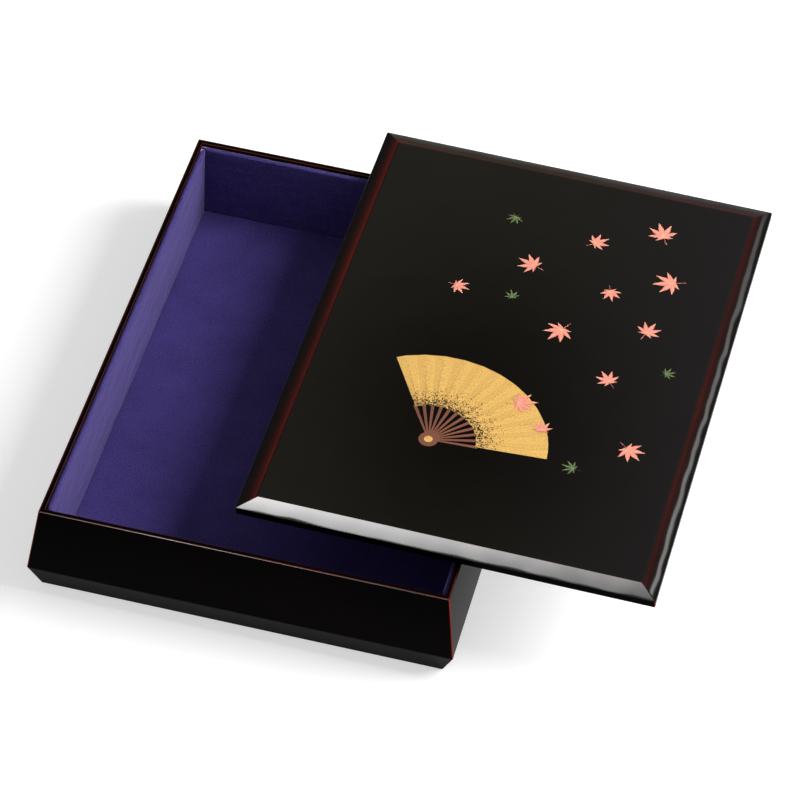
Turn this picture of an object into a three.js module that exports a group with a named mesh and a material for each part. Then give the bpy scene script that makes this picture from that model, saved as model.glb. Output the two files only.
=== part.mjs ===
// Lacquer document box: a low wooden case with flared walls, lined with cloth-covered cards,
// and a loose bevelled lid laid askew across its back and right rims.
// Millimetres, +Z up, X along the front, origin at the centre of the foot's underside.
import * as THREE from "three";

// Case: outer size over the rim, and the section that its four walls share.
const RIM_WIDTH = 236;
const RIM_DEPTH = 327;
const CASE_HEIGHT = 58.8;
const RIM_THICKNESS = 3.2;
const HIP_OUT = 5.5; // the hip stands this far outside the rim
const HIP_HEIGHT = 17.5;
const FOOT_IN = 6.5; // the foot is tucked this far inside the hip

// Bottom board: its lip lies under the walls, and the rest of its thickness fits between them.
const BOARD_THICKNESS = 3.9;
const BOARD_LIP = 2;

// Lining: cards glued to the walls and laid on the floor, each wrapped in cloth.
const CARD_THICKNESS = 1.8;
const CLOTH_THICKNESS = 0.6;
const CLOTH_ROLL = 1.2; // radius of the cloth where it rolls over a card's edge
const LINING_DROP = 2.5; // the lining ends this far below the rim

// Lid: a board with a shallow bevel all round, and a raised board under it that drops in the lining.
const LID_OVERHANG = 2;
const LID_EDGE = 4.5; // height of the upright edge
const LID_ARRIS = 0.5; // small chamfer along the lower edge
const LID_BEVEL_RUN = 10;
const LID_BEVEL_DROP = 2.4;
const LID_CORNER = 1.5; // radius in plan of the outer corners
const LID_FIELD_CORNER = 3; // radius in plan of the flat field's corners
const INNER_BOARD_THICKNESS = 4.2;
const INNER_BOARD_ARRIS = 0.8;
const INNER_BOARD_CORNER = 4;

// Clearances.
const GLUE = 0.05; // glue line between pieces that are fixed together
const FLOOR_CLEARANCE = 0.2; // floor pad to the side linings
const INNER_BOARD_CLEARANCE = 0.8; // raised board to the cloth, when the lid is on
const REST_GAP = 0.3; // under the raised board, where the lid lies on the rims

// How the lid lies: shifted to the right and back from its closed place, and turned a little.
const LID_SHIFT_X = 110.6;
const LID_SHIFT_Y = 26.1;
const LID_TURN = THREE.MathUtils.degToRad(-0.8);

const CORNER_STEPS = 6; // facets in a rounded corner of a board
const ROLL_STEPS = 5; // facets in the cloth's rolled edge

// Places that several pieces share. Depths run inwards from the rim's outer face.
const footOut = HIP_OUT - FOOT_IN;
const lipOut = footOut + (FOOT_IN * BOARD_LIP) / HIP_HEIGHT;
const cardBack = RIM_THICKNESS + GLUE;
const cardFace = cardBack + CARD_THICKNESS;
const clothBack = cardFace + GLUE;
const clothFace = clothBack + CLOTH_THICKNESS;
const liningFoot = BOARD_THICKNESS + GLUE;
const liningTop = CASE_HEIGHT - LINING_DROP;

const lacquer = { color: 0x140b09, roughness: 0.12, metalness: 0 };
const rawCard = { color: 0xb9a98c, roughness: 0.9, metalness: 0 };
const violetCloth = { color: 0x3a2c78, roughness: 0.95, metalness: 0 };

function piece(name, geometry, finish) {
  const mesh = new THREE.Mesh(geometry, new THREE.MeshStandardMaterial(finish));
  mesh.name = name;
  return mesh;
}

// A rectangle in plan, anticlockwise from above, each corner square or rounded by an arc.
function outline(width, depth, radius, z) {
  const points = [];
  const steps = radius > 0 ? CORNER_STEPS : 0;
  for (const [sx, sy, start] of [[1, -1, -90], [1, 1, 0], [-1, 1, 90], [-1, -1, 180]]) {
    for (let i = 0; i <= steps; i++) {
      const angle = THREE.MathUtils.degToRad(start + (steps ? (90 * i) / steps : 0));
      const x = sx * (width / 2 - radius) + radius * Math.cos(angle);
      const y = sy * (depth / 2 - radius) + radius * Math.sin(angle);
      points.push([x, y, z]);
    }
  }
  return points;
}

// Skins a stack of outlines that have as many points each, and caps the first and the last.
function loft(outlines) {
  const count = outlines[0].length;
  const index = [];
  for (let i = 1; i < count - 1; i++) {
    index.push(0, i + 1, i);
  }
  for (let level = 0; level < outlines.length - 1; level++) {
    for (let i = 0; i < count; i++) {
      const a = level * count + i;
      const b = level * count + ((i + 1) % count);
      index.push(a, b, b + count, a, b + count, a + count);
    }
  }
  const top = (outlines.length - 1) * count;
  for (let i = 1; i < count - 1; i++) {
    index.push(top, top + i, top + i + 1);
  }
  const geometry = new THREE.BufferGeometry();
  geometry.setAttribute("position", new THREE.Float32BufferAttribute(outlines.flat(2), 3));
  geometry.setIndex(index);
  geometry.computeVertexNormals();
  return geometry;
}

// Extrudes a section along a side of the case and slides its ends by reach(u), so that a section
// point u outside the rim ends there. It is made for the front, and turned to the other sides.
function alongSide(section, rimDistance, reach) {
  const geometry = new THREE.ExtrudeGeometry(section, { depth: 1, bevelEnabled: false });
  const position = geometry.getAttribute("position");
  for (let i = 0; i < position.count; i++) {
    const u = position.getX(i);
    const height = position.getY(i);
    const end = position.getZ(i) < 0.5 ? 1 : -1;
    position.setXYZ(i, end * reach(u), -(rimDistance + u), height);
  }
  geometry.deleteAttribute("uv");
  geometry.computeVertexNormals();
  return geometry;
}

// The wall's section: foot, hip, rim, and the upright inner face.
function wallSection() {
  const section = new THREE.Shape();
  section.moveTo(-RIM_THICKNESS, BOARD_LIP + GLUE);
  section.lineTo(lipOut, BOARD_LIP + GLUE);
  section.lineTo(HIP_OUT, HIP_HEIGHT);
  section.lineTo(0, CASE_HEIGHT);
  section.lineTo(-RIM_THICKNESS, CASE_HEIGHT);
  return section;
}

// The section of a card on a wall.
function cardSection() {
  const section = new THREE.Shape();
  const top = liningTop - CLOTH_THICKNESS - GLUE;
  section.moveTo(-cardFace, liningFoot);
  section.lineTo(-cardBack, liningFoot);
  section.lineTo(-cardBack, top);
  section.lineTo(-cardFace, top);
  return section;
}

// The section of the cloth on a wall: down the card's face, and rolled over its top to the wall.
function clothSection() {
  const section = new THREE.Shape();
  section.moveTo(-clothFace, liningFoot);
  section.lineTo(-clothBack, liningFoot);
  section.lineTo(-clothBack, liningTop - CLOTH_THICKNESS);
  section.lineTo(-cardBack, liningTop - CLOTH_THICKNESS);
  section.lineTo(-cardBack, liningTop);
  for (let i = 0; i <= ROLL_STEPS; i++) {
    const angle = (Math.PI / 2) * (1 + i / ROLL_STEPS);
    const u = -clothFace + CLOTH_ROLL + CLOTH_ROLL * Math.cos(angle);
    const z = liningTop - CLOTH_ROLL + CLOTH_ROLL * Math.sin(angle);
    section.lineTo(u, z);
  }
  return section;
}

// The four sides: name, half the size across, half the length, and the turn from the front.
const sides = [
  ["front", RIM_DEPTH / 2, RIM_WIDTH / 2, 0],
  ["right", RIM_WIDTH / 2, RIM_DEPTH / 2, Math.PI / 2],
  ["back", RIM_DEPTH / 2, RIM_WIDTH / 2, Math.PI],
  ["left", RIM_WIDTH / 2, RIM_DEPTH / 2, -Math.PI / 2],
];

function makeWalls() {
  return sides.map(([side, distance, half, turn]) => {
    const geometry = alongSide(wallSection(), distance, (u) => half + u - GLUE / 2);
    const wall = piece(side + "_wall", geometry, lacquer);
    wall.rotation.z = turn;
    return wall;
  });
}

// The front and back linings run from wall to wall, and the side ones fit between them.
function makeSideLinings() {
  return sides.flatMap(([side, distance, half, turn]) => {
    const inset = side === "front" || side === "back" ? cardBack : clothFace + GLUE;
    const reach = () => half - inset;
    const card = piece("lining_card_" + side, alongSide(cardSection(), distance, reach), rawCard);
    const cloth = piece(
      "lining_cloth_" + side,
      alongSide(clothSection(), distance, reach),
      violetCloth,
    );
    card.rotation.z = turn;
    cloth.rotation.z = turn;
    return [card, cloth];
  });
}

// A rectangle measured inwards from the rim's outer face, or outwards where inset is negative.
function insideRim(inset, radius, z) {
  return outline(RIM_WIDTH - 2 * inset, RIM_DEPTH - 2 * inset, radius, z);
}

function makeBottomBoard() {
  const geometry = loft([
    insideRim(-footOut, 0, 0),
    insideRim(-lipOut, 0, BOARD_LIP),
    insideRim(RIM_THICKNESS + GLUE, 0, BOARD_LIP),
    insideRim(RIM_THICKNESS + GLUE, 0, BOARD_THICKNESS),
  ]);
  return piece("bottom_board", geometry, lacquer);
}

// The floor pad: a card, and a cloth that lies over it with its edges turned down.
function makeFloorPad() {
  const clothEdge = clothFace + FLOOR_CLEARANCE;
  const pocketEdge = clothEdge + CLOTH_THICKNESS;
  const cardTop = liningFoot + CARD_THICKNESS;
  const pocketTop = cardTop + GLUE;
  const clothTop = pocketTop + CLOTH_THICKNESS;
  const card = loft([
    insideRim(pocketEdge + GLUE, 0, liningFoot),
    insideRim(pocketEdge + GLUE, 0, cardTop),
  ]);
  const skin = [
    insideRim(pocketEdge, 0, pocketTop),
    insideRim(pocketEdge, 0, liningFoot),
    insideRim(clothEdge, 0, liningFoot),
  ];
  for (let i = 0; i <= ROLL_STEPS; i++) {
    const angle = (Math.PI / 2) * (i / ROLL_STEPS);
    const inset = clothEdge + CLOTH_ROLL * (1 - Math.cos(angle));
    skin.push(insideRim(inset, 0, clothTop - CLOTH_ROLL * (1 - Math.sin(angle))));
  }
  return [piece("lining_card_floor", card, rawCard), piece("lining_cloth_floor", loft(skin), violetCloth)];
}

// The lid is made with its underside at z = 0 and its raised board below that.
function makeLid() {
  const overRim = (inset, radius, z) => insideRim(inset - LID_OVERHANG, radius, z);
  const board = loft([
    overRim(LID_ARRIS, LID_CORNER, 0),
    overRim(0, LID_CORNER, LID_ARRIS),
    overRim(0, LID_CORNER, LID_EDGE),
    overRim(LID_BEVEL_RUN, LID_FIELD_CORNER, LID_EDGE + LID_BEVEL_DROP),
  ]);
  const innerEdge = clothFace + INNER_BOARD_CLEARANCE;
  const inner = loft([
    insideRim(innerEdge + INNER_BOARD_ARRIS, INNER_BOARD_CORNER, -INNER_BOARD_THICKNESS),
    insideRim(innerEdge, INNER_BOARD_CORNER, INNER_BOARD_ARRIS - INNER_BOARD_THICKNESS),
    insideRim(innerEdge, INNER_BOARD_CORNER, -GLUE),
  ]);
  const lid = new THREE.Group();
  lid.add(piece("lid_board", board, lacquer), piece("lid_inner_board", inner, lacquer));
  lid.position.set(LID_SHIFT_X, LID_SHIFT_Y, CASE_HEIGHT + REST_GAP + INNER_BOARD_THICKNESS);
  lid.rotation.z = LID_TURN;
  return lid;
}

const box = new THREE.Group();
const caseGroup = new THREE.Group();
caseGroup.add(...makeWalls(), makeBottomBoard(), ...makeSideLinings(), ...makeFloorPad());
box.add(caseGroup, makeLid());

export default box;
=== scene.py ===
# %% [markdown]
# A lacquer document box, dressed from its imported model. The model holds every piece at its real
# size, in metres, with the origin under the middle of the foot, X along the front and Z up.
# Here the walls get softened edges and lacquer, the lining becomes cloth, and the lid gets its
# bevel, its finish and a raised gold and coloured design.

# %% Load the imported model
import math

import bmesh
import bpy
from mathutils import Matrix, Vector


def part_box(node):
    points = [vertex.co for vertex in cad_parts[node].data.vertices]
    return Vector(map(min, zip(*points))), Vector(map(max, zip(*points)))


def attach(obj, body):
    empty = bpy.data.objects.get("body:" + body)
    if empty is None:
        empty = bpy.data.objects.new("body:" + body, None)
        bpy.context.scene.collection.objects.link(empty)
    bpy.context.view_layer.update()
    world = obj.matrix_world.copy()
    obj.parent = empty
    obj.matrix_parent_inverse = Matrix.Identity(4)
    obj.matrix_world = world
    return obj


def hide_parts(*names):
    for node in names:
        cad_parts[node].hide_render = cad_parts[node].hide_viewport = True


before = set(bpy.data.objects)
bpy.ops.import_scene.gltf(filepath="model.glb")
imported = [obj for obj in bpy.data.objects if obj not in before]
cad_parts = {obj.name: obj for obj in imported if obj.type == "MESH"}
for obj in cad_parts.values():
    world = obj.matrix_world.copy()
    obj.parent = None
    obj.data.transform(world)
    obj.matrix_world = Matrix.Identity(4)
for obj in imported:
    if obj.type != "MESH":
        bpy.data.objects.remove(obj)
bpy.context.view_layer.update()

MM = 0.001

# %% [markdown]
# The camera stands where the straight edges of the box say it stood: about 45 degrees above the
# table, 11 degrees to the right of the front, far away with a long lens, and tipped 4 degrees.
# A few measured angles and one distance say it all, so they are the named values here.

# %% The camera
CAMERA_TURN = math.radians(11.241)
CAMERA_HEIGHT = math.radians(44.912)
CAMERA_TIP = math.radians(3.816)
CAMERA_DISTANCE = 2456.54 * MM
LOOK_AT = Vector((48.66, 8.06, 30.0)) * MM
SENSOR_WIDTH = 36.0
LENS = 189.2
VIEW_DEPTH = 50.0


def make_camera():
    back = Vector((
        math.sin(CAMERA_TURN) * math.cos(CAMERA_HEIGHT),
        -math.cos(CAMERA_TURN) * math.cos(CAMERA_HEIGHT),
        math.sin(CAMERA_HEIGHT),
    ))
    level = Vector((math.cos(CAMERA_TURN), math.sin(CAMERA_TURN), 0))
    upright = back.cross(level)
    right = math.cos(CAMERA_TIP) * level + math.sin(CAMERA_TIP) * upright
    up = back.cross(right)
    data = bpy.data.cameras.new("camera")
    data.sensor_width = SENSOR_WIDTH
    data.lens = LENS
    data.clip_end = VIEW_DEPTH
    camera = bpy.data.objects.new("camera", data)
    turn = Matrix((right, up, back)).transposed().to_4x4()
    camera.matrix_world = Matrix.Translation(LOOK_AT + back * CAMERA_DISTANCE) @ turn
    bpy.context.scene.collection.objects.link(camera)
    bpy.context.scene.camera = camera
    return camera


camera = make_camera()
print("camera at", [round(x, 3) for x in camera.location])

# %% [markdown]
# Three helpers carry all the materials. One turns a colour, written as it looks on a screen, into
# the linear values that light is reckoned in. One adds a node with its settings, its inputs, which
# are numbers or the outputs of other nodes, and its stops if it is a colour ramp. One starts a
# material with an empty tree.

# %% Helpers for materials


def linear(colour):
    channels = [int(colour[i:i + 2], 16) / 255 for i in (1, 3, 5)]
    return [c / 12.92 if c <= 0.04045 else ((c + 0.055) / 1.055) ** 2.4 for c in channels] + [1]


def node(tree, kind, inputs=None, stops=(), **settings):
    """Adds a node. A stop is its place along the ramp, from 0 to 1, and its colour."""
    made = tree.nodes.new(kind)
    for name, value in settings.items():
        setattr(made, name, value)
    for name, value in (inputs or {}).items():
        if isinstance(value, bpy.types.NodeSocket):
            tree.links.new(value, made.inputs[name])
        else:
            made.inputs[name].default_value = value
    for number, (place, colour) in enumerate(stops):
        points = made.color_ramp.elements
        point = points[number] if number < len(points) else points.new(place)
        point.position = place
        point.color = linear(colour)
    return made


def new_material(name):
    made = bpy.data.materials.new(name)
    made.use_nodes = True
    made.node_tree.nodes.clear()
    return made, made.node_tree


print("a middle grey in linear light:", round(linear("#808080")[0], 3))

# %% [markdown]
# The box is coated with many thin layers of lacquer: red-brown under, and clear brown over, so it
# looks black where the coats are thick and glows red-brown at the edges, where they are rubbed
# thin. It is a smooth, hard gloss. Brushed and polished by hand, it is never quite flat, so a
# very shallow wave a few centimetres long bends what it mirrors. The case is rubbed down softer
# than the lid and mirrors the pale table much less, so its specular level is lower. Towards the
# foot and towards the rim the level drops further: painted shade, standing for the shadowed floor
# that these parts mirror.

# %% Lacquer
LACQUER_IOR = 1.5
CLOUD_SIZE = 60 * MM
WAVE_LENGTH = 28 * MM
CASE_WAVE = 0.08 * MM
LID_WAVE = 0.3 * MM
BLACK_LACQUER = "#030202"
BROWN_LACQUER = "#0A0605"
THIN_LACQUER = "#54170E"
RUBBED_LACQUER = "#9A3018"
SOFT_GLOSS = 0.12
CASE_SPECULAR = 0.017
FOOT_SHARE, RIM_SHARE = 0.4, 0.45
FULL_SPECULAR = 0.5
HIP_HEIGHT = 17.5 * MM
CASE_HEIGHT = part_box("front_wall")[1].z


def coats(tree, where, low, high):
    """The base colour: black with wide, very faint clouds of brown in it."""
    cloud = node(tree, "ShaderNodeTexNoise", {
        "Vector": where, "Scale": 1 / CLOUD_SIZE, "Detail": 3,
    })
    return node(tree, "ShaderNodeMix", {
        0: cloud.outputs["Fac"], 6: linear(low), 7: linear(high),
    }, data_type="RGBA").outputs[2]


def hand_polish(tree, where, depth, share=1.0):
    wave = node(tree, "ShaderNodeTexNoise", {
        "Vector": where, "Scale": 1 / WAVE_LENGTH, "Detail": 1,
    })
    return node(tree, "ShaderNodeBump", {
        "Height": wave.outputs["Fac"], "Distance": depth, "Strength": share,
    }).outputs["Normal"]


def gloss_with_painted_shade(tree, where):
    """Specular level by height: full at the hip, less at foot and rim, as painted shade."""
    height = node(tree, "ShaderNodeSeparateXYZ", {0: where}).outputs["Z"]
    upwards = node(tree, "ShaderNodeMapRange", {
        "Value": height, "From Max": HIP_HEIGHT,
        "To Min": CASE_SPECULAR * FOOT_SHARE, "To Max": CASE_SPECULAR,
    })
    share = node(tree, "ShaderNodeMapRange", {
        "Value": height, "From Min": HIP_HEIGHT, "From Max": CASE_HEIGHT,
        "To Min": 1.0, "To Max": RIM_SHARE,
    })
    return node(tree, "ShaderNodeMath", {
        0: upwards.outputs[0], 1: share.outputs[0],
    }, operation="MULTIPLY").outputs[0]


def lacquer(name, low, high, roughness, specular=None):
    made, tree = new_material(name)
    where = node(tree, "ShaderNodeTexCoord").outputs["Object"]
    surface = node(tree, "ShaderNodeBsdfPrincipled", {
        "Base Color": coats(tree, where, low, high), "Roughness": roughness, "IOR": LACQUER_IOR,
        "Specular IOR Level": specular or gloss_with_painted_shade(tree, where),
        "Normal": hand_polish(tree, where, CASE_WAVE),
    })
    node(tree, "ShaderNodeOutputMaterial", {"Surface": surface.outputs["BSDF"]})
    return made


case_lacquer = lacquer("case_lacquer", BLACK_LACQUER, BROWN_LACQUER, SOFT_GLOSS)
thin_lacquer = lacquer("thin_lacquer", THIN_LACQUER, RUBBED_LACQUER, SOFT_GLOSS)
rim_lacquer = lacquer("rim_lacquer", BLACK_LACQUER, THIN_LACQUER, SOFT_GLOSS, FULL_SPECULAR)
print("lacquer:", case_lacquer.name, thin_lacquer.name, rim_lacquer.name)

# %% [markdown]
# The lid lies shifted and turned on the case, so its finish is drawn in the lid's own frame: a
# Mapping node undoes the shift and the turn. Then the distance from the edge of the flat field is
# the larger of two differences, and a ramp on it gives the red-brown glow: strongest just outside
# the arris, gone within a millimetre on the flat side, and fading out over most of the bevel. It
# is patchy where the coats are rubbed unevenly, and it is painted stronger on the left bevel than
# on the others: painted light, for the light from the right-back that shows the red most there.
# The flat field is polished on a block and all but flat. The narrow bevels are polished by hand,
# so only they are wavy.

# %% Lacquer on the lid
LID_WIDTH = 240 * MM
LID_DEPTH = 331 * MM
LID_BEVEL_RUN = 10 * MM
LID_TURN = math.radians(-0.8)
lid_low, lid_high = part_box("lid_board")
LID_PLACE = Vector(((lid_low.x + lid_high.x) / 2, (lid_low.y + lid_high.y) / 2, lid_low.z))
GLOW_INSIDE = 1.5 * MM
GLOW_OUTSIDE = 8.5 * MM
GLOW_ELSEWHERE = 0.38
GLOW_STOPS = ((0, "#000000"), (0.15, "#383838"), (0.27, "#FFFFFF"),
              (0.45, "#B0B0B0"), (0.7, "#606060"), (1, "#000000"))
RUBBED_PATCH = 70 * MM
LEAST_RUBBED = 0.55
FIELD_WAVE_SHARE = 0.12
FIELD_BORDER = 1 * MM
LID_GLOSS = 0.06


def lid_frame(tree):
    """Object coordinates, moved and turned back so that the middle of the lid is the origin."""
    where = node(tree, "ShaderNodeTexCoord").outputs["Object"]
    return node(tree, "ShaderNodeMapping", {
        "Vector": where, "Location": LID_PLACE, "Rotation": (0, 0, LID_TURN),
    }, vector_type="TEXTURE").outputs["Vector"]


def beyond_field(tree, along, half):
    away = node(tree, "ShaderNodeMath", {0: along}, operation="ABSOLUTE")
    return node(tree, "ShaderNodeMath", {
        0: away.outputs[0], 1: half,
    }, operation="SUBTRACT").outputs[0]


def make_lid_lacquer():
    made, tree = new_material("lid_lacquer")
    where = lid_frame(tree)
    place = node(tree, "ShaderNodeSeparateXYZ", {0: where})
    distance = node(tree, "ShaderNodeMath", {
        0: beyond_field(tree, place.outputs["X"], LID_WIDTH / 2 - LID_BEVEL_RUN),
        1: beyond_field(tree, place.outputs["Y"], LID_DEPTH / 2 - LID_BEVEL_RUN),
    }, operation="MAXIMUM")
    span = node(tree, "ShaderNodeMapRange", {
        "Value": distance.outputs[0], "From Min": -GLOW_INSIDE, "From Max": GLOW_OUTSIDE,
    })
    glow = node(tree, "ShaderNodeValToRGB", {"Fac": span.outputs[0]}, stops=GLOW_STOPS)
    patchy = node(tree, "ShaderNodeTexNoise", {
        "Vector": where, "Scale": 1 / RUBBED_PATCH, "Detail": 2,
    })
    uneven = node(tree, "ShaderNodeMapRange", {
        "Value": patchy.outputs["Fac"], "From Min": 0.3, "From Max": 0.7, "To Min": LEAST_RUBBED,
    })
    # Painted light: the red-brown is full on the left bevel and weaker on the other sides.
    lit_left_bevel = node(tree, "ShaderNodeMapRange", {
        "Value": place.outputs["X"], "From Min": -LID_WIDTH / 2 + LID_BEVEL_RUN,
        "From Max": -LID_WIDTH / 2 + 2 * LID_BEVEL_RUN, "To Min": 1.0, "To Max": GLOW_ELSEWHERE,
    })
    rubbed_and_lit = node(tree, "ShaderNodeMath", {
        0: uneven.outputs[0], 1: lit_left_bevel.outputs[0],
    }, operation="MULTIPLY")
    amount = node(tree, "ShaderNodeMath", {
        0: glow.outputs["Color"], 1: rubbed_and_lit.outputs[0],
    }, operation="MULTIPLY")
    colour = node(tree, "ShaderNodeMix", {
        0: amount.outputs[0], 6: coats(tree, where, BLACK_LACQUER, BROWN_LACQUER),
        7: linear(THIN_LACQUER),
    }, data_type="RGBA")
    wavy = node(tree, "ShaderNodeMapRange", {
        "Value": distance.outputs[0], "From Min": 0.0, "From Max": FIELD_BORDER,
        "To Min": FIELD_WAVE_SHARE, "To Max": 1.0,
    })
    surface = node(tree, "ShaderNodeBsdfPrincipled", {
        "Base Color": colour.outputs[2], "Roughness": LID_GLOSS, "IOR": LACQUER_IOR,
        "Normal": hand_polish(tree, where, LID_WAVE, wavy.outputs[0]),
    })
    node(tree, "ShaderNodeOutputMaterial", {"Surface": surface.outputs["BSDF"]})
    return made


lid_lacquer = make_lid_lacquer()
print("lid lacquer glows", (GLOW_INSIDE + GLOW_OUTSIDE) * 1000, "mm wide")

# %% [markdown]
# The lining is a blue-violet cloth with a short nap, like a flocked velvet. Its fibres stand up
# and catch light at a grazing angle, which is what sheen does. They lean this way and that, in
# soft clouds on the floor and in long streaks where the cloth is smoothed down along a wall. A
# wide, shallow bump leans the surface with them, and so the sheen changes. The fibres are finer
# than a pixel, so the grain is drawn at 0.8 mm, coarse enough to show.

# %% Cloth and card
NAP_GRAIN = 0.8 * MM
NAP_STREAK = 7 * MM
NAP_ALONG = 0.22
NAP_LEAN = 0.9 * MM
STREAK_SHARE = 0.25
SHADE_AT, LIGHT_AT = 0.36, 0.64
GRAIN_RISE = 0.12 * MM
CARD_FIBRE = 0.8 * MM
CARD_DARK, CARD_LIGHT = "#7C6E58", "#94866C"


def napped_cloth(name, shade, light, sheen):
    made, tree = new_material(name)
    where = node(tree, "ShaderNodeTexCoord").outputs["Object"]
    grain = node(tree, "ShaderNodeTexNoise", {"Vector": where, "Scale": 1 / NAP_GRAIN, "Detail": 2})
    drawn_out = node(tree, "ShaderNodeMapping", {
        "Vector": where, "Scale": (NAP_ALONG, NAP_ALONG, 1),
    })
    streak = node(tree, "ShaderNodeTexNoise", {
        "Vector": drawn_out.outputs[0], "Scale": 1 / NAP_STREAK, "Detail": 4, "Roughness": 0.65,
    })

    both = node(tree, "ShaderNodeMix", {
        0: STREAK_SHARE, 2: grain.outputs["Fac"], 3: streak.outputs["Fac"],
    }, data_type="FLOAT")
    spread = node(tree, "ShaderNodeMapRange", {
        "Value": both.outputs[0], "From Min": SHADE_AT, "From Max": LIGHT_AT,
    })
    colour = node(tree, "ShaderNodeMix", {
        0: spread.outputs[0], 6: linear(shade), 7: linear(light),
    }, data_type="RGBA")
    lean = node(tree, "ShaderNodeBump", {"Height": streak.outputs["Fac"], "Distance": NAP_LEAN})
    bump = node(tree, "ShaderNodeBump", {
        "Height": grain.outputs["Fac"], "Distance": GRAIN_RISE, "Strength": 0.5,
        "Normal": lean.outputs["Normal"],
    })
    surface = node(tree, "ShaderNodeBsdfPrincipled", {
        "Base Color": colour.outputs[2], "Roughness": 0.9, "Specular IOR Level": 0.1,
        "Sheen Weight": 1.0, "Sheen Roughness": 0.3, "Sheen Tint": linear(sheen),
        "Normal": bump.outputs["Normal"],
    })
    node(tree, "ShaderNodeOutputMaterial", {"Surface": surface.outputs["BSDF"]})
    return made


def pressed_card(name):
    made, tree = new_material(name)
    where = node(tree, "ShaderNodeTexCoord").outputs["Object"]
    fibre = node(tree, "ShaderNodeTexNoise", {
        "Vector": where, "Scale": 1 / CARD_FIBRE, "Detail": 4,
    })
    colour = node(tree, "ShaderNodeMix", {
        0: fibre.outputs["Fac"], 6: linear(CARD_DARK), 7: linear(CARD_LIGHT),
    }, data_type="RGBA")
    surface = node(tree, "ShaderNodeBsdfPrincipled", {
        "Base Color": colour.outputs[2], "Roughness": 0.9,
    })
    node(tree, "ShaderNodeOutputMaterial", {"Surface": surface.outputs["BSDF"]})
    return made


cloth = napped_cloth("violet_cloth", "#332A5A", "#4D4387", "#CBBCEE")
card = pressed_card("pressed_card")
for name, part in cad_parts.items():
    finish = card if "card" in name else cloth if "cloth" in name else case_lacquer
    part.data.materials.clear()
    part.data.materials.append(finish)
print("cloth and card:", cloth.name, card.name)

# %% [markdown]
# Modelling starts from a primitive and goes on in edit mode, as by hand. These few helpers make
# one object active, select some of its faces or edges by where they are, and put a finished
# piece's place into its mesh.

# %% Helpers for modelling
GRIP = {"faces": "FACE", "edges": "EDGE", "verts": "VERT"}
TOUCHING = 0.01 * MM


def start_piece(name, *materials):
    piece = bpy.context.object
    piece.name = name
    piece.data.name = name
    for material in materials:
        piece.data.materials.append(material)
    bpy.ops.object.transform_apply(location=True, rotation=True, scale=True)
    return piece


def pick(piece, kind, test):
    mesh = bmesh.from_edit_mesh(piece.data)
    bpy.ops.mesh.select_mode(type=GRIP[kind])
    bpy.ops.mesh.select_all(action="DESELECT")
    for part in getattr(mesh, kind):
        if test(part):
            part.select_set(True)
    mesh.select_flush_mode()
    bmesh.update_edit_mesh(piece.data)


def middle(edge):
    return (edge.verts[0].co + edge.verts[1].co) / 2


def near(a, b):
    return abs(a - b) < TOUCHING


def is_level(edge):
    return near(edge.verts[0].co.z, edge.verts[1].co.z)


def rise(height):
    """Pulls what is selected up by this much, with new sides under it."""
    bpy.ops.mesh.extrude_region_move(TRANSFORM_OT_translate={"value": (0, 0, height)})


def widen(start, end):
    """Resizes what is selected from one (width, depth) to another."""
    bpy.ops.transform.resize(value=(end[0] / start[0], end[1] / start[1], 1))


def soften_shading(piece):
    bpy.ops.object.select_all(action="DESELECT")
    piece.select_set(True)
    bpy.context.view_layer.objects.active = piece
    bpy.ops.object.shade_smooth()
    weighted = piece.modifiers.new("flat faces stay flat", "WEIGHTED_NORMAL")
    weighted.keep_sharp = True
    bpy.ops.object.modifier_apply(modifier=weighted.name)


print("edit mode can pick:", ", ".join(GRIP))

# %% [markdown]
# The case is four mitred mouldings on a bottom board, but under the lacquer no joint shows, so
# one closed shell stands for all five. Its section is pulled up from the foot to the hip and to
# the rim by extruding and resizing. A first inset, lifted a little, gives the narrow sloping
# facet that the lid has rubbed round the rim, and it is this that catches the lamp as a thin
# bright line. A second inset pressed down is the mouth. Each edge then gets the small round that
# polishing leaves, and on the upright corners the coats are so thin that the red-brown shows.

# %% The case
RIM_WIDTH = 236 * MM
RIM_DEPTH = 327 * MM
HIP_OUT = 5.5 * MM
FOOT_IN = 6.5 * MM
RIM_THICKNESS = 3.2 * MM
CORNER_ROUND = 0.6 * MM
SOFT_EDGE = 0.8 * MM
RIM_ROUND = 0.2 * MM
MOUTH_ROUND = 0.35 * MM
RIM_FACET = 0.95 * MM
FACET_SLOPE = math.radians(12.5)
FACET_DROP = RIM_FACET * math.tan(FACET_SLOPE)
FLOOR_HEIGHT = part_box("bottom_board")[1].z
CASE_SLOT, THIN_SLOT, RIM_SLOT = 0, 1, 2


def around_rim(out):
    return RIM_WIDTH + 2 * out, RIM_DEPTH + 2 * out


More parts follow.
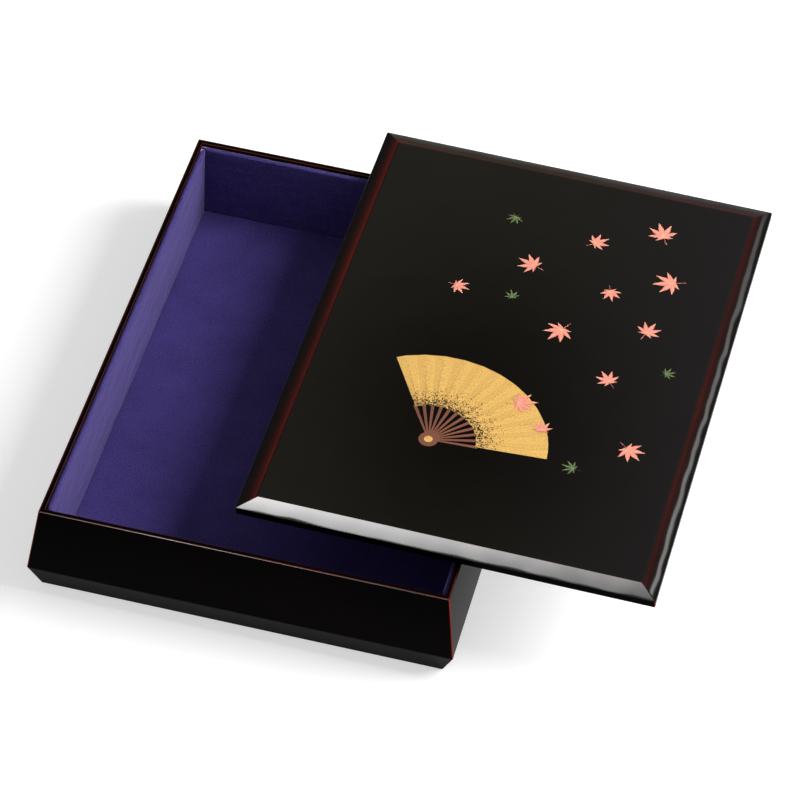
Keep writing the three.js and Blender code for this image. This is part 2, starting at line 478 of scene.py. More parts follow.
def make_case():
    bpy.ops.object.select_all(action="DESELECT")
    foot, hip, rim = around_rim(HIP_OUT - FOOT_IN), around_rim(HIP_OUT), around_rim(0)
    bpy.ops.mesh.primitive_plane_add(size=1)
    bpy.context.object.scale = (foot[0], foot[1], 1)
    shell = start_piece("case_shell", case_lacquer, thin_lacquer, rim_lacquer)
    bpy.ops.object.mode_set(mode="EDIT")
    bpy.ops.mesh.select_all(action="SELECT")
    rise(HIP_HEIGHT)
    widen(foot, hip)
    rise(CASE_HEIGHT - FACET_DROP - HIP_HEIGHT)
    widen(hip, rim)
    bpy.ops.mesh.inset(thickness=RIM_FACET, depth=FACET_DROP)
    bpy.ops.mesh.inset(thickness=RIM_THICKNESS - RIM_FACET)
    rise(FLOOR_HEIGHT - CASE_HEIGHT)
    bpy.ops.mesh.select_all(action="SELECT")
    bpy.ops.mesh.normals_make_consistent(inside=False)

    def corner_edge(edge):
        place = middle(edge)
        outside = abs(place.x) > RIM_WIDTH / 2 - MM and abs(place.y) > RIM_DEPTH / 2 - MM
        return outside and place.z < CASE_HEIGHT - FACET_DROP and not is_level(edge)

    def mouth_edge(edge):
        place = middle(edge)
        side = near(abs(place.x), RIM_WIDTH / 2 - RIM_THICKNESS)
        end = near(abs(place.y), RIM_DEPTH / 2 - RIM_THICKNESS)
        return (side or end) and near(place.z, CASE_HEIGHT)

    pick(shell, "faces", lambda f: near(f.calc_center_median().z, CASE_HEIGHT - FACET_DROP / 2))
    shell.active_material_index = RIM_SLOT
    bpy.ops.object.material_slot_assign()
    bpy.ops.mesh.region_to_loop()
    bpy.ops.mesh.mark_sharp()
    pick(shell, "edges", corner_edge)
    bpy.ops.mesh.bevel(offset=CORNER_ROUND, segments=3, affect="EDGES", material=THIN_SLOT)
    for height, size in ((HIP_HEIGHT, SOFT_EDGE), (0, SOFT_EDGE / 2),
                         (CASE_HEIGHT - FACET_DROP, RIM_ROUND)):
        pick(shell, "edges", lambda e: all(near(v.co.z, height) for v in e.verts))
        bpy.ops.mesh.bevel(offset=size, segments=3, affect="EDGES")
    pick(shell, "edges", mouth_edge)
    bpy.ops.mesh.bevel(offset=MOUTH_ROUND, segments=2, affect="EDGES", material=RIM_SLOT)
    bpy.ops.object.mode_set(mode="OBJECT")
    for face in shell.data.polygons:
        if face.material_index == THIN_SLOT and face.center.z < HIP_HEIGHT:
            face.material_index = CASE_SLOT
    soften_shading(shell)
    return shell


case_shell = make_case()
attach(case_shell, "case")
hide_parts("front_wall", "right_wall", "back_wall", "left_wall", "bottom_board")
print("case shell faces:", len(case_shell.data.polygons))

# %% [markdown]
# The lid is a flat board with a wide, shallow bevel, crowned a little by polishing. It is pulled
# up from a plane: first the upright edge, then the bevel in three steps, each a bit flatter than
# the last. A Bevel with a weight on each edge then rounds the corners in plan and softens each
# arris by its own amount. It is modelled square to the axes and then laid where it lies. The
# upright edge and the underside are rubbed down soft, as the case is, and the outer corners show
# a little red-brown.

# %% The lid
LID_EDGE = 4.5 * MM
BEVEL_SLOPES = [math.radians(a) for a in (15.5, 13.5, 11.5)]
OUTER_CORNER = 1.2 * MM
HIP_ROUND = 0.45 * MM
ARRIS = 0.2 * MM
CROWN_MARGIN = 0.1 * MM
SIDEWAYS = 0.5
DIAGONAL = 0.3
EDGE_SLOT, CORNER_SLOT = 1, 2
LAY_LID = Matrix.Translation(LID_PLACE) @ Matrix.Rotation(LID_TURN, 4, "Z")


def make_lid():
    bpy.ops.object.select_all(action="DESELECT")
    bpy.ops.mesh.primitive_plane_add(size=1)
    bpy.context.object.scale = (LID_WIDTH, LID_DEPTH, 1)
    lid = start_piece("lid_top", lid_lacquer, case_lacquer, thin_lacquer)
    bpy.ops.object.mode_set(mode="EDIT")
    bpy.ops.mesh.select_all(action="SELECT")
    rise(LID_EDGE)
    run = LID_BEVEL_RUN / len(BEVEL_SLOPES)
    size = LID_WIDTH, LID_DEPTH
    for slope in BEVEL_SLOPES:
        rise(run * math.tan(slope))
        smaller = size[0] - 2 * run, size[1] - 2 * run
        widen(size, smaller)
        size = smaller
    bpy.ops.mesh.select_all(action="SELECT")
    bpy.ops.mesh.normals_make_consistent(inside=False)
    bpy.ops.object.mode_set(mode="OBJECT")
    top = max(v.co.z for v in lid.data.vertices)
    weights = lid.data.attributes.new("bevel_weight_edge", "FLOAT", "EDGE")
    for edge in lid.data.edges:
        a, b = (lid.data.vertices[i].co for i in edge.vertices)
        upright = near(a.x, b.x) and near(a.y, b.y)
        level = near(a.z, b.z)
        on_crown = level and LID_EDGE + CROWN_MARGIN < a.z < top - CROWN_MARGIN
        width = OUTER_CORNER if upright else 0 if on_crown else ARRIS if level else HIP_ROUND
        weights.data[edge.index].value = width / OUTER_CORNER
    rounds = lid.modifiers.new("rounded corners and arrises", "BEVEL")
    rounds.limit_method = "WEIGHT"
    rounds.width = OUTER_CORNER
    rounds.segments = 3
    bpy.ops.object.modifier_apply(modifier=rounds.name)
    for face in lid.data.polygons:
        if face.normal.z < SIDEWAYS:
            at_corner = min(abs(face.normal.x), abs(face.normal.y)) > DIAGONAL
            face.material_index = CORNER_SLOT if at_corner else EDGE_SLOT
    soften_shading(lid)
    lid.data.transform(LAY_LID)
    return lid, top


lid_top, LID_TOP = make_lid()
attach(lid_top, "lid")
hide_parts("lid_board")
print("lid faces:", len(lid_top.data.polygons), "height in mm:", round(LID_TOP * 1000, 2))

# %% [markdown]
# The lid carries a raised design, as such lids do: the figures are built up a fraction of a
# millimetre in lacquer, then coloured or dusted with gold powder. It is a plain traditional one,
# an open folding fan with maple leaves drifting past it. The fan is dusted with gold powder, whose
# grains are finer than a pixel and so are drawn at 0.4 mm. On its leaf the powder is sprinkled
# thinner towards the ribs, so that the black shows between its grains, drawn at 0.9 mm there. How
# thick it lies is a value that the leaf's own points carry: 0 at the ribs and 1 at the rim.

# %% Gold powder
GOLD_DEEP, GOLD_LIGHT = "#C08834", "#F2C974"
GOLD_GRAIN = 0.4 * MM
GOLD_RISE = 0.04 * MM
GOLD_METALLIC = 0.3
SPRINKLED_GRAIN = 0.9 * MM
THICK_FROM = 0.55
THIN_COVER, THICK_COVER = 0.46, 0.8
GRAIN_BORDER = 0.02


def sprinkled(tree, where):
    """1 where a grain of powder lies and 0 where the lacquer shows; thickness comes from the
    points of the mesh."""
    thickness = node(tree, "ShaderNodeAttribute", attribute_name="powder").outputs["Fac"]
    grain = node(tree, "ShaderNodeTexNoise", {
        "Vector": where, "Scale": 1 / SPRINKLED_GRAIN, "Detail": 1,
    })
    cover = node(tree, "ShaderNodeMapRange", {
        "Value": thickness, "From Max": THICK_FROM, "To Min": THIN_COVER, "To Max": THICK_COVER,
    })
    over = node(tree, "ShaderNodeMath", {
        0: cover.outputs[0], 1: grain.outputs["Fac"],
    }, operation="SUBTRACT")
    return node(tree, "ShaderNodeMapRange", {
        "Value": over.outputs[0], "From Min": -GRAIN_BORDER, "From Max": GRAIN_BORDER,
    }).outputs[0]


def gold_powder(name, deep, light, thinning=False):
    made, tree = new_material(name)
    where = node(tree, "ShaderNodeTexCoord").outputs["Object"]
    grain = node(tree, "ShaderNodeTexNoise", {
        "Vector": where, "Scale": 1 / GOLD_GRAIN, "Detail": 3,
    })
    spread = node(tree, "ShaderNodeMapRange", {
        "Value": grain.outputs["Fac"], "From Min": 0.35, "From Max": 0.6,
    })
    gold = node(tree, "ShaderNodeMix", {
        0: spread.outputs[0], 6: linear(deep), 7: linear(light),
    }, data_type="RGBA")
    bump = node(tree, "ShaderNodeBump", {"Height": grain.outputs["Fac"], "Distance": GOLD_RISE})
    cover = sprinkled(tree, where) if thinning else 1.0
    colour = node(tree, "ShaderNodeMix", {
        0: cover, 6: linear(BROWN_LACQUER), 7: gold.outputs[2],
    }, data_type="RGBA")
    metal = node(tree, "ShaderNodeMath", {0: cover, 1: GOLD_METALLIC}, operation="MULTIPLY")
    surface = node(tree, "ShaderNodeBsdfPrincipled", {
        "Base Color": colour.outputs[2], "Metallic": metal.outputs[0], "Roughness": 0.5,
        "Normal": bump.outputs["Normal"],
    })
    node(tree, "ShaderNodeOutputMaterial", {"Surface": surface.outputs["BSDF"]})
    return made


solid_gold = gold_powder("gold_powder", GOLD_DEEP, GOLD_LIGHT)
fan_gold = gold_powder("sprinkled_gold", GOLD_DEEP, GOLD_LIGHT, thinning=True)
print("gold:", solid_gold.name, fan_gold.name)

# %% [markdown]
# The leaves and the ribs are coloured lacquer, laid on with a brush, so that it is a little
# deeper in some strokes than in others. The leaves have gold veins, drawn from another value that
# a leaf's own points carry.

# %% Coloured lacquers
BRUSH_WIDTH = 2.5 * MM
VEIN_START, VEIN_FULL = 0.91, 0.97


def leaf_lacquer(name, deep, light):
    made, tree = new_material(name)
    where = node(tree, "ShaderNodeTexCoord").outputs["Object"]
    brush = node(tree, "ShaderNodeTexNoise", {
        "Vector": where, "Scale": 1 / BRUSH_WIDTH, "Detail": 3,
    })
    tone = node(tree, "ShaderNodeMix", {
        0: brush.outputs["Fac"], 6: linear(deep), 7: linear(light),
    }, data_type="RGBA")
    vein = node(tree, "ShaderNodeAttribute", attribute_name="vein")
    line = node(tree, "ShaderNodeMapRange", {
        "Value": vein.outputs["Fac"], "From Min": VEIN_START, "From Max": VEIN_FULL,
    })
    colour = node(tree, "ShaderNodeMix", {
        0: line.outputs[0], 6: tone.outputs[2], 7: linear(GOLD_LIGHT),
    }, data_type="RGBA")
    surface = node(tree, "ShaderNodeBsdfPrincipled", {
        "Base Color": colour.outputs[2], "Roughness": 0.4, "IOR": LACQUER_IOR,
    })
    node(tree, "ShaderNodeOutputMaterial", {"Surface": surface.outputs["BSDF"]})
    return made


rib_brown = lacquer("rib_lacquer", "#5A3426", "#8A5440", 0.35, FULL_SPECULAR)
salmon = leaf_lacquer("salmon_lacquer", "#D07163", "#E8968A")
green = leaf_lacquer("green_lacquer", "#183F27", "#2A5C36")
print("coloured lacquers:", rib_brown.name, salmon.name, green.name)

# %% [markdown]
# The fan's leaf of paper is one radial edge spun round the pivot in as many steps as it has
# folds; then every second fold line is lifted, which gives the pleats. Like the rest of the
# design, it is sunk a hair into the lid, so that no edge hangs over air.

# %% The leaf of the fan
FAN_PIVOT = Vector((-30, -84, 0)) * MM
FAN_START = math.radians(4)
FAN_SPREAD = math.radians(116)
FAN_HUB, FAN_REACH = 27 * MM, 68 * MM
FAN_FOLDS = 24
PLEAT = 0.26 * MM
SKIN = 0.2 * MM
SUNK = 0.05 * MM
LAY_FAN = LAY_LID @ Matrix.Translation(FAN_PIVOT) @ Matrix.Rotation(FAN_START, 4, "Z")


def put_on_lid(piece, place):
    piece.data.transform(place)
    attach(piece, "lid")


def make_fan_leaf():
    bpy.ops.object.select_all(action="DESELECT")
    bpy.ops.mesh.primitive_plane_add(size=1, location=((FAN_HUB + FAN_REACH) / 2, 0, 0))
    bpy.context.object.scale = (FAN_REACH - FAN_HUB, MM, 1)
    leaf = start_piece("fan_leaf", fan_gold)
    bpy.ops.object.mode_set(mode="EDIT")
    pick(leaf, "verts", lambda v: v.co.y < 0)
    bpy.ops.mesh.delete(type="VERT")
    bpy.ops.mesh.select_all(action="SELECT")
    bpy.ops.transform.translate(value=(0, -MM / 2, LID_TOP + SKIN - SUNK))
    bpy.ops.mesh.spin(steps=FAN_FOLDS, angle=-FAN_SPREAD, axis=(0, 0, 1), center=(0, 0, 0))
    fold = FAN_SPREAD / FAN_FOLDS
    pick(leaf, "verts", lambda v: round(math.atan2(v.co.y, v.co.x) / fold) % 2 == 1)
    bpy.ops.transform.translate(value=(0, 0, PLEAT))
    bpy.ops.object.mode_set(mode="OBJECT")
    if leaf.data.polygons[0].normal.z < 0:
        leaf.data.flip_normals()
    thick = leaf.modifiers.new("thickness", "SOLIDIFY")
    thick.thickness = SKIN
    thick.offset = -1
    bpy.ops.object.modifier_apply(modifier=thick.name)
    powder = leaf.data.attributes.new("powder", "FLOAT", "POINT")
    for point, value in zip(leaf.data.vertices, powder.data):
        value.value = (point.co.xy.length - FAN_HUB) / (FAN_REACH - FAN_HUB)
    put_on_lid(leaf, LAY_FAN)
    return leaf


fan_leaf = make_fan_leaf()
print("faces of the fan's leaf:", len(fan_leaf.data.polygons))

# %% [markdown]
# The ribs are thin slats that narrow towards the pivot and run a little under the leaf. One is
# pulled up from a plane and tapered, and Spin copies it round.

# %% The ribs of the fan
RIB_COUNT = 12
RIB_WIDTH = 2.0 * MM
RIB_FOOT = 4.5 * MM
RIB_TAPER = 0.5
RIB_HEIGHT = 0.17 * MM


def make_fan_ribs():
    length = FAN_HUB + MM - RIB_FOOT
    bpy.ops.object.select_all(action="DESELECT")
    bpy.ops.mesh.primitive_plane_add(
        size=1, location=(RIB_FOOT + length / 2, 0, LID_TOP - SUNK))
    bpy.context.object.scale = (length, RIB_WIDTH, 1)
    ribs = start_piece("fan_ribs", rib_brown)
    bpy.ops.object.mode_set(mode="EDIT")
    bpy.ops.mesh.select_all(action="SELECT")
    rise(RIB_HEIGHT)
    pick(ribs, "verts", lambda v: v.co.x < RIB_FOOT + MM)
    bpy.ops.transform.resize(value=(1, RIB_TAPER, 1), center_override=(0, 0, 0))
    bpy.ops.mesh.select_all(action="SELECT")
    bpy.ops.mesh.normals_make_consistent(inside=False)
    bpy.ops.mesh.spin(
        steps=RIB_COUNT - 1, angle=-FAN_SPREAD, axis=(0, 0, 1), center=(0, 0, 0), dupli=True)
    bpy.ops.object.mode_set(mode="OBJECT")
    put_on_lid(ribs, LAY_FAN)
    return ribs


fan_ribs = make_fan_ribs()
print("ribs:", RIB_COUNT, "with", len(fan_ribs.data.polygons), "faces")

# %% [markdown]
# The pivot is a low round boss with a gold head: a disc pulled up, inset, pulled up again and
# inset once more with a little height, so that the head is crowned.

# %% The boss of the fan
BOSS_RADIUS = 5.6 * MM
HEAD_INSET = 0.55 * BOSS_RADIUS
HEAD_RISE = 0.12 * MM
HEAD_SLOPE = 0.12 * BOSS_RADIUS
HEAD_CROWN = 0.06 * MM
HEAD_SLOT = 1


def make_fan_boss():
    bpy.ops.object.select_all(action="DESELECT")
    bpy.ops.mesh.primitive_circle_add(
        vertices=32, radius=BOSS_RADIUS, fill_type="NGON", location=(0, 0, LID_TOP - SUNK))
    boss = start_piece("fan_boss", rib_brown, solid_gold)
    bpy.ops.object.mode_set(mode="EDIT")
    bpy.ops.mesh.select_all(action="SELECT")
    rise(RIB_HEIGHT + SUNK)
    bpy.ops.mesh.inset(thickness=HEAD_INSET)
    boss.active_material_index = HEAD_SLOT
    bpy.ops.object.material_slot_assign()
    rise(HEAD_RISE)
    bpy.ops.mesh.inset(thickness=HEAD_SLOPE, depth=HEAD_CROWN)
    bpy.ops.mesh.select_all(action="SELECT")
    bpy.ops.mesh.normals_make_consistent(inside=False)
    bpy.ops.object.mode_set(mode="OBJECT")
    put_on_lid(boss, LAY_FAN)
    return boss


fan_boss = make_fan_boss()
print("faces of the boss:", len(fan_boss.data.polygons))

# %% [markdown]
# A maple leaf starts as a disc of triangles round a middle point. Its rim points are drawn out
# into seven lobes and a stalk, it is pulled up, and its middle is lifted, so that a low ridge
# runs to each tip. The middle and the tips carry the value 1 and all other points 0: between
# them it runs straight along each ridge, and the finish draws a gold vein wherever it is near 1.

# %% A maple leaf
STALK = ((-89, 0.62), (-85, 0.13), (-56, 0.20))
LOBES = ((-26, 0.50), (13, 0.78), (52, 0.93), (90, 1.0), (128, 0.93), (167, 0.78), (206, 0.50))
LOBE_HALF_WIDTH = 13
SHOULDER, NOTCH = 0.58, 0.43
LEAF_HEIGHT = 0.17 * MM
LEAF_RIDGE = 0.10 * MM


def leaf_outline():
    """The rim's points, going round from the stalk: angle in degrees, reach, and 1 for a tip."""
    points = [(angle, reach, 0) for angle, reach in STALK]
    for (angle, reach), after in zip(LOBES, LOBES[1:] + ((None, None),)):
        points.append((angle - LOBE_HALF_WIDTH, SHOULDER * reach, 0))
        points.append((angle, reach, 1))
        points.append((angle + LOBE_HALF_WIDTH, SHOULDER * reach, 0))
        if after[0] is not None:
            points.append(((angle + after[0]) / 2, NOTCH * (reach + after[1]) / 2, 0))
    return points + [(180 - angle, reach, 0) for angle, reach in reversed(STALK)]


def make_leaf():
    outline = leaf_outline()
    bpy.ops.object.select_all(action="DESELECT")
    bpy.ops.mesh.primitive_circle_add(vertices=len(outline), radius=1, fill_type="TRIFAN")
    leaf = start_piece("maple_leaf", salmon)
    rim = [v for v in leaf.data.vertices if v.co.length > 0.5]
    rim.sort(key=lambda v: (math.atan2(v.co.y, v.co.x) + math.pi / 2) % (2 * math.pi))
    vein = leaf.data.attributes.new("vein", "FLOAT", "POINT")
    for corner in leaf.data.vertices:
        vein.data[corner.index].value = 1
    for corner, (angle, reach, is_tip) in zip(rim, outline):
        turn = math.radians(angle)
        corner.co = Vector((math.cos(turn), math.sin(turn), 0)) * reach
        vein.data[corner.index].value = is_tip
    bpy.ops.object.mode_set(mode="EDIT")
    bpy.ops.mesh.select_all(action="SELECT")
    rise(LEAF_HEIGHT)
    pick(leaf, "verts", lambda v: v.co.z > LEAF_HEIGHT / 2 and v.co.xy.length < 0.01)
    bpy.ops.transform.translate(value=(0, 0, LEAF_RIDGE))
    bpy.ops.mesh.select_all(action="SELECT")
    bpy.ops.mesh.normals_make_consistent(inside=False)
    bpy.ops.object.mode_set(mode="OBJECT")
    return leaf


leaf_pattern = make_leaf()
print("faces of a maple leaf:", len(leaf_pattern.data.polygons))

# %% [markdown]
# The leaves drift down past the fan, large and small, each turned its own way. Each is a copy of
# the one leaf with its own mesh. Two lie on the fan, so they are lifted by its thickness.

# %% The scattered leaves
SALMON_LEAVES = (
    (62, 122, 12.0, 25), (24, 104, 9.5, -50), (76, 84, 12.5, 110), (42, 66, 8.5, 200),
    (-6, 74, 11.0, 70), (70, 38, 10.0, -20), (22, 26, 12.0, 150), (-46, 44, 8.5, -100),
    (58, -8, 9.5, 40), (80, -58, 11.0, 230))
GREEN_LEAVES = ((-26, 112, 6.5, 160), (88, 8, 6.0, -60), (-12, 44, 6.0, 20), (54, -82, 7.0, 80))
LEAVES_ON_FAN = ((12, -41, 11.5, -70), (30, -58, 8.0, 15))
PRESSED_IN = 0.06 * MM
FAN_LIFT = SKIN + PLEAT - PRESSED_IN


def scatter(pattern, rows, name, finish, lift=0):
    """Copies of the leaf, each with its own mesh: (x, y, size, turn), in mm and degrees."""
    made = []
    for number, (x, y, size, turn) in enumerate(rows, 1):
        leaf = pattern.copy()
        leaf.data = pattern.data.copy()
        leaf.name = leaf.data.name = f"{name}_{number}"
        leaf.data.materials[0] = finish
        bpy.context.scene.collection.objects.link(leaf)
        leaf.data.transform(Matrix.Diagonal((size * MM, size * MM, 1, 1)))
        spot = Matrix.Translation(Vector((x * MM, y * MM, LID_TOP - SUNK + lift)))
        put_on_lid(leaf, LAY_LID @ spot @ Matrix.Rotation(math.radians(turn), 4, "Z"))
        made.append(leaf)
    return made


leaves = scatter(leaf_pattern, SALMON_LEAVES, "salmon_leaf", salmon)
leaves += scatter(leaf_pattern, GREEN_LEAVES, "green_leaf", green)
leaves += scatter(leaf_pattern, LEAVES_ON_FAN, "fan_maple", salmon, FAN_LIFT)
bpy.data.objects.remove(leaf_pattern)
print("leaves:", len(leaves))

# %% [markdown]
# Each side of the lining is one piece of cloth: glued down the face of its card, rolled over the
# card's top edge and brought back to the wall. A grid is stood up at the card's face, its top
# edge is spun through a quarter turn for the roll and then extruded back, and the ends are cut
# to the mitre of the corner. Solidify gives the thickness, and a shallow wave takes off the
# stiffness of a board.

# %% The cloth on the walls
CLOTH_THICKNESS = 0.6 * MM
CLOTH_ROLL = 1.2 * MM
ROLL_STEPS = 5
GRID_STEP = 3 * MM
PUCKER = 0.3 * MM
PUCKER_LENGTH = 20 * MM
CUT_SLACK = 0.0001 * MM


def pucker_texture():
    made = bpy.data.textures.new("slack in the cloth", "CLOUDS")
    made.noise_scale = PUCKER_LENGTH
    made.noise_depth = 1
    return made


slack = pucker_texture()


def add_slack_and_thickness(piece):
    """The cloth's outer face is the surface that was modelled; its thickness goes behind it."""
    wave = piece.modifiers.new("slack", "DISPLACE")
    wave.texture = slack
    wave.strength = PUCKER
    wave.mid_level = 0.5
    wave.texture_coords = "LOCAL"
    thick = piece.modifiers.new("thickness", "SOLIDIFY")
    thick.thickness = CLOTH_THICKNESS
    thick.offset = -1
    for name in (wave.name, thick.name):
        bpy.ops.object.modifier_apply(modifier=name)
    bpy.ops.object.shade_smooth()


def cut_mitre(sign, reach, half):
    """Cuts off what lies past the corner's diagonal, where the next side's cloth begins."""
    bpy.ops.mesh.select_all(action="SELECT")
    bpy.ops.mesh.bisect(
        plane_co=(sign * half, -reach, 0), plane_no=(sign, -1, 0), clear_outer=True,
        threshold=CUT_SLACK)


def make_side_cloth(side, turn):
    low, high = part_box("lining_cloth_" + side)
    crossways = turn in (0, math.pi)
    reach = {"front": -low.y, "back": high.y, "left": -low.x, "right": high.x}[side]
    along = high.x - low.x if crossways else high.y - low.y
    face = reach - (high.y - low.y if crossways else high.x - low.x)
    height = high.z - low.z - CLOTH_ROLL
    top = low.z + height
    bpy.ops.object.select_all(action="DESELECT")
    bpy.ops.mesh.primitive_grid_add(
        x_subdivisions=round(along / GRID_STEP), y_subdivisions=round(height / GRID_STEP),
        size=1, location=(0, -face, low.z + height / 2), rotation=(-math.pi / 2, 0, 0))
    bpy.context.object.scale = (along, height, 1)
    piece = start_piece("cloth_" + side, cloth)
    bpy.ops.object.mode_set(mode="EDIT")
    pick(piece, "edges", lambda e: near(middle(e).z, top))
    bpy.ops.mesh.spin(
        steps=ROLL_STEPS, angle=-math.pi / 2, axis=(1, 0, 0),
        center=(0, -face - CLOTH_ROLL, top))
    bpy.ops.mesh.extrude_region_move(
        TRANSFORM_OT_translate={"value": (0, face + CLOTH_ROLL - reach, 0)})
    bpy.ops.mesh.select_all(action="SELECT")
    bpy.ops.mesh.remove_doubles(threshold=TOUCHING)
    for sign in (1, -1):
        cut_mitre(sign, reach, along / 2)
    bpy.ops.mesh.select_all(action="SELECT")
    bpy.ops.mesh.normals_make_consistent(inside=False)
    bpy.ops.object.mode_set(mode="OBJECT")
    if piece.data.polygons[0].normal.y < 0:
        piece.data.flip_normals()
    piece.data.transform(Matrix.Rotation(turn, 4, "Z"))
    add_slack_and_thickness(piece)
    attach(piece, "case")
    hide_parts("lining_cloth_" + side)
    print(piece.name, "top in mm:", round(max(v.co.z for v in piece.data.vertices) * 1000, 2))
    return piece


SIDES = {"front": 0, "right": math.pi / 2, "back": math.pi, "left": -math.pi / 2}
for side, turn in SIDES.items():
    make_side_cloth(side, turn)

# %% [markdown]
# The floor pad is dropped in last: a card with the cloth laid over it and its edges turned down.
# A grid at the cloth's height gets its border extruded down and the edge between them rounded.
# The cloth is pulled tight round the card here, so this round is smaller than the one on a wall.

# %% The cloth on the floor
FLOOR_HEM = 0.3 * MM
FLOOR_ROLL = 0.4 * MM


def make_floor_cloth():
    low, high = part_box("lining_cloth_floor")
    width, depth = high.x - low.x, high.y - low.y
    drop = low.z + FLOOR_HEM - high.z
    bpy.ops.object.select_all(action="DESELECT")
    bpy.ops.mesh.primitive_grid_add(
        x_subdivisions=round(width / GRID_STEP), y_subdivisions=round(depth / GRID_STEP),
        size=1, location=(0, 0, high.z))
    bpy.context.object.scale = (width, depth, 1)
    piece = start_piece("cloth_floor", cloth)
    bpy.ops.object.mode_set(mode="EDIT")
    pick(piece, "edges", lambda e: e.is_boundary)
    rise(drop)

    def top_border(edge):
        place = middle(edge)
        on_side = near(abs(place.x), width / 2) or near(abs(place.y), depth / 2)
        return on_side and near(edge.verts[0].co.z, high.z) and near(edge.verts[1].co.z, high.z)

    pick(piece, "edges", top_border)
    bpy.ops.mesh.bevel(offset=FLOOR_ROLL, segments=4, affect="EDGES")
    bpy.ops.object.mode_set(mode="OBJECT")
    add_slack_and_thickness(piece)
    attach(piece, "case")
    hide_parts("lining_cloth_floor")
    return piece


floor_cloth = make_floor_cloth()
print("floor cloth faces:", len(floor_cloth.data.polygons))

# %% [markdown]
# A plain white floor holds the object and keeps its shadow. To the camera, mirrors and glass it
# also gives off a little light, so that it reads as white. To all other rays it is only pale
# paint, so that it throws no more light on the box than a real table would.

# %% The floor
FLOOR_SIZE = 12.0
FLOOR_PAINT = "#D4D4D4"
FLOOR_LIFT = 0.55


def seen_ray(tree):
    """1 for a ray from the camera, a mirror or glass, and 0 for one that only brings light."""
    path = node(tree, "ShaderNodeLightPath")
    both = node(tree, "ShaderNodeMath", {
        0: path.outputs["Is Camera Ray"], 1: path.outputs["Is Glossy Ray"],
    }, operation="MAXIMUM")
    return node(tree, "ShaderNodeMath", {
        0: both.outputs[0], 1: path.outputs["Is Transmission Ray"],
    }, operation="MAXIMUM").outputs[0]


def make_floor():
    bpy.ops.object.select_all(action="DESELECT")
    bpy.ops.mesh.primitive_plane_add(size=FLOOR_SIZE, location=(0, 0, 0))
    floor = bpy.context.object
    floor.name = "floor"
    made, tree = new_material("white_floor")
    plain = node(tree, "ShaderNodeBsdfDiffuse", {"Color": linear(FLOOR_PAINT)})
    lift = node(tree, "ShaderNodeEmission", {"Color": linear("#FFFFFF"), "Strength": FLOOR_LIFT})
    lifted = node(tree, "ShaderNodeAddShader", {0: plain.outputs[0], 1: lift.outputs[0]})
    mixed = node(tree, "ShaderNodeMixShader", {
        0: seen_ray(tree), 1: plain.outputs[0], 2: lifted.outputs[0],
    })
    node(tree, "ShaderNodeOutputMaterial", {"Surface": mixed.outputs[0]})
    floor.data.materials.append(made)
    return floor


floor = make_floor()
print("floor:", floor.name, FLOOR_SIZE, "m wide")

# %% [markdown]
# What the lacquer mirrors and what lights the cloth come from different sides, so each soft box
# does one of the two. Three are only seen in the lacquer. The front bevel of the lid mirrors the
# overhead one, which is brighter at its left. The small one beside it carries the bright line
# along the front rim to the corner, and a slender strip puts the thin light band on the right
# bevel. Two only bring light. The large one at the right, a little to the back, lights the lining
# and throws the lid's shadow on the cloth, and a lower one reaches the lining's left wall.

# %% The lamps
TOP_LAMP_PLACE = (-0.294, 0.977, 3.60)
TOP_LAMP_SIZE = (0.852, 0.813)
TOP_LAMP_ACROSS = (17.0, 0.9)
TOP_LAMP_ALONG = (0.79, 1.30)
RIM_LAMP_PLACE = (-0.90, 0.872, 3.60)
RIM_LAMP_SIZE = (0.342, 0.435)
RIM_LAMP_GLOW = 9.0
SIDE_LAMP_AIM = (0.705, 0.19, 0.675)
SIDE_LAMP_DISTANCE = 1.7
SIDE_LAMP_SIZE = (0.90, 0.95)
SIDE_LAMP_GLOW = 14.0
LOW_LAMP_AIM = (0.86, 0.20, 0.47)
LOW_LAMP_SIZE = (0.50, 0.70)
LOW_LAMP_GLOW = 15.0
STRIP_PLACE = (0.676, 1.15, 1.116)
STRIP_AIM = (0.285, 0.70, 0.655)
STRIP_SIZE = (0.05, 0.46)
STRIP_ALONG = (5.0, 0.8)


def make_lamp(name, role, place, aim, size, across, along=(1, 1)):
    """A soft box: a glowing sheet, whose glow fades across from its left to its right side and
    along from its near to its far side. In the role "light" it isn't mirrored, and in the role
    "mirrored" it is only seen in the lacquer."""
    bpy.ops.object.select_all(action="DESELECT")
    bpy.ops.mesh.primitive_plane_add(size=1)
    lamp = bpy.context.object
    lamp.name = name
    facing = Vector(aim).normalized()
    right = Vector((0, 1, 0)).cross(facing).normalized()
    turned = Matrix((right, facing.cross(right), facing)).transposed().to_4x4()
    lamp.matrix_world = Matrix.Translation(place) @ turned @ Matrix.Diagonal((*size, 1, 1))
    made, tree = new_material(name + "_light")
    where = node(tree, "ShaderNodeTexCoord").outputs["Object"]
    place_on = node(tree, "ShaderNodeSeparateXYZ", {0: where})
    fades = [node(tree, "ShaderNodeMapRange", {
        "Value": place_on.outputs[axis], "From Min": -0.5, "From Max": 0.5,
        "To Min": ends[0], "To Max": ends[1],
    }) for axis, ends in (("X", across), ("Y", along))]
    strength = node(tree, "ShaderNodeMath", {
        0: fades[0].outputs[0], 1: fades[1].outputs[0],
    }, operation="MULTIPLY")
    glow = node(tree, "ShaderNodeEmission", {"Strength": strength.outputs[0]})
    node(tree, "ShaderNodeOutputMaterial", {"Surface": glow.outputs[0]})
    lamp.data.materials.append(made)
    lamp.visible_camera = False
    lamp.visible_glossy = role != "light"
    lamp.visible_diffuse = role != "mirrored"
    return lamp


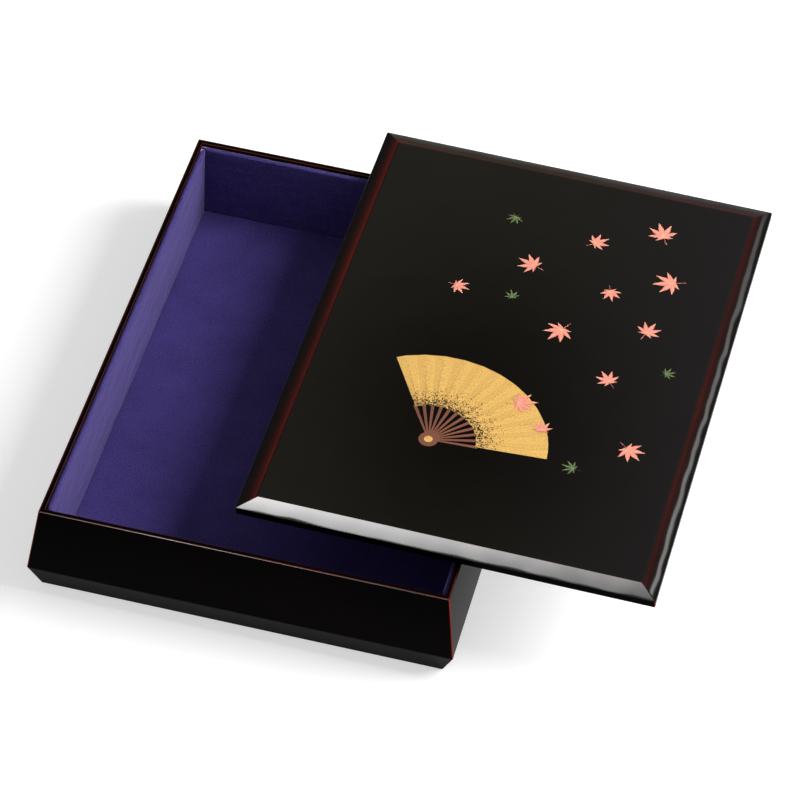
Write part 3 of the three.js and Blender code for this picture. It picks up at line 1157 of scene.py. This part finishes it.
top_lamp = make_lamp(
    "top_lamp", "mirrored", TOP_LAMP_PLACE, (0, 0, 1), TOP_LAMP_SIZE,
    TOP_LAMP_ACROSS, TOP_LAMP_ALONG)
rim_lamp = make_lamp(
    "rim_lamp", "mirrored", RIM_LAMP_PLACE, (0, 0, 1), RIM_LAMP_SIZE,
    (RIM_LAMP_GLOW, RIM_LAMP_GLOW))
side_place = Vector(SIDE_LAMP_AIM).normalized() * SIDE_LAMP_DISTANCE
side_lamp = make_lamp(
    "side_lamp", "light", side_place, SIDE_LAMP_AIM, SIDE_LAMP_SIZE,
    (SIDE_LAMP_GLOW, SIDE_LAMP_GLOW))
low_place = Vector(LOW_LAMP_AIM).normalized() * SIDE_LAMP_DISTANCE
low_lamp = make_lamp(
    "low_lamp", "light", low_place, LOW_LAMP_AIM, LOW_LAMP_SIZE,
    (LOW_LAMP_GLOW, LOW_LAMP_GLOW))
strip_lamp = make_lamp(
    "strip_lamp", "mirrored", STRIP_PLACE, STRIP_AIM, STRIP_SIZE, (1, 1), STRIP_ALONG)
print("lamps:", top_lamp.name, rim_lamp.name, side_lamp.name, low_lamp.name, strip_lamp.name)

# %% [markdown]
# The room is dim, and a little brighter towards the front. Where it is seen or mirrored it is
# white near the floor, as a backdrop is, and grey above, darker at both sides. A small dark flag
# hangs where the middle of the lid mirrors it.

# %% The room
ROOM_LIGHT = 0.30
ROOM_FRONT, ROOM_BACK = 1.1, 0.9
ROOM_FROM, ROOM_TO = -0.2, 0.4
FLAG_AIM = (-0.121, 0.696, 0.708)
FLAG_SIZE = 0.06
FLAG_SHADE = 0.22
WALL_STOPS = ((0, "#505050"), (0.06, "#88897C"), (0.14, "#888878"), (0.22, "#8C8A8C"),
              (0.3, "#B0B0B0"), (0.5, "#B0B0B0"), (0.68, "#6A6A6A"))
WHITE_BELOW, GREY_ABOVE = math.radians(4), math.radians(18)


def make_world():
    world = bpy.data.worlds.new("studio")
    bpy.context.scene.world = world
    world.use_nodes = True
    tree = world.node_tree
    tree.nodes.clear()
    where = node(tree, "ShaderNodeTexCoord").outputs["Generated"]
    place = node(tree, "ShaderNodeSeparateXYZ", {0: where})
    across = node(tree, "ShaderNodeMapRange", {
        "Value": place.outputs["X"], "From Min": ROOM_FROM, "From Max": ROOM_TO,
    })
    walls = node(tree, "ShaderNodeValToRGB", {"Fac": across.outputs[0]}, stops=WALL_STOPS)
    from_flag = node(tree, "ShaderNodeVectorMath", {0: where, 1: FLAG_AIM}, operation="DISTANCE")
    open_share = node(tree, "ShaderNodeMapRange", {
        "Value": from_flag.outputs["Value"], "From Max": FLAG_SIZE, "To Min": FLAG_SHADE,
    }, interpolation_type="SMOOTHSTEP")
    shaded = node(tree, "ShaderNodeVectorMath", {
        0: walls.outputs["Color"], "Scale": open_share.outputs[0],
    }, operation="SCALE")
    backdrop = node(tree, "ShaderNodeMapRange", {
        "Value": place.outputs["Z"], "From Min": math.sin(WHITE_BELOW),
        "From Max": math.sin(GREY_ABOVE), "To Min": 1.0, "To Max": 0.0,
    }, interpolation_type="SMOOTHSTEP")
    mirrored = node(tree, "ShaderNodeMix", {
        0: backdrop.outputs[0], 6: shaded.outputs[0], 7: linear("#FFFFFF"),
    }, data_type="RGBA")
    room = node(tree, "ShaderNodeMapRange", {
        "Value": place.outputs["Y"], "From Min": -1, "From Max": 1,
        "To Min": ROOM_LIGHT * ROOM_FRONT, "To Max": ROOM_LIGHT * ROOM_BACK,
    })
    colour = node(tree, "ShaderNodeMix", {
        0: seen_ray(tree), 6: room.outputs[0], 7: mirrored.outputs[2],
    }, data_type="RGBA")
    light = node(tree, "ShaderNodeBackground", {"Color": colour.outputs[2], "Strength": 1.0})
    node(tree, "ShaderNodeOutputWorld", {"Surface": light.outputs[0]})
    return world


world = make_world()
bpy.context.scene.view_settings.view_transform = "Standard"
print("room:", world.name)
